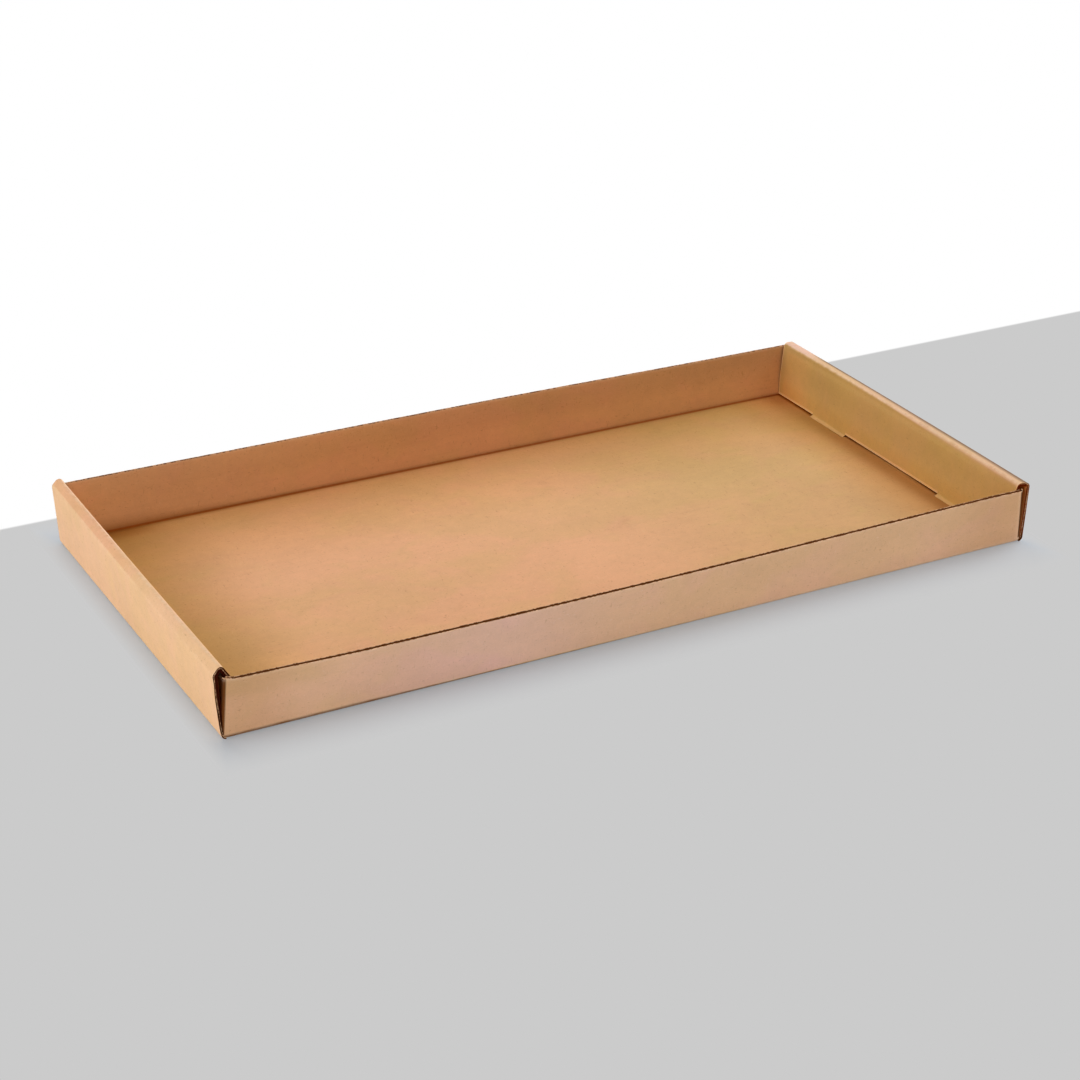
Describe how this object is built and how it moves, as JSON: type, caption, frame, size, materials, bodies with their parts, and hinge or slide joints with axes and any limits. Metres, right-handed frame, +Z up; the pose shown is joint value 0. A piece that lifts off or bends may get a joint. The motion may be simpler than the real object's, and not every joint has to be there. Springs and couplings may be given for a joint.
{
  "type": "cardboard tray box",
  "caption": "Shallow open tray folded from one sheet of corrugated board, with rolled-over double ends locked by tabs in slots in the floor.",
  "frame": {"origin": "middle of the underside of the floor", "axes": "+X along the long side towards the end whose ridge stands lower, +Y across to the rear wall, +Z up out of the tray"},
  "size_m": [0.6047, 0.2994, 0.0486],
  "materials": {
    "kraft_board": "matt brown kraft liner on both faces"
  },
  "bodies": {
    "root": {"tray": "kraft_board"}
  },
  "joints": []
}
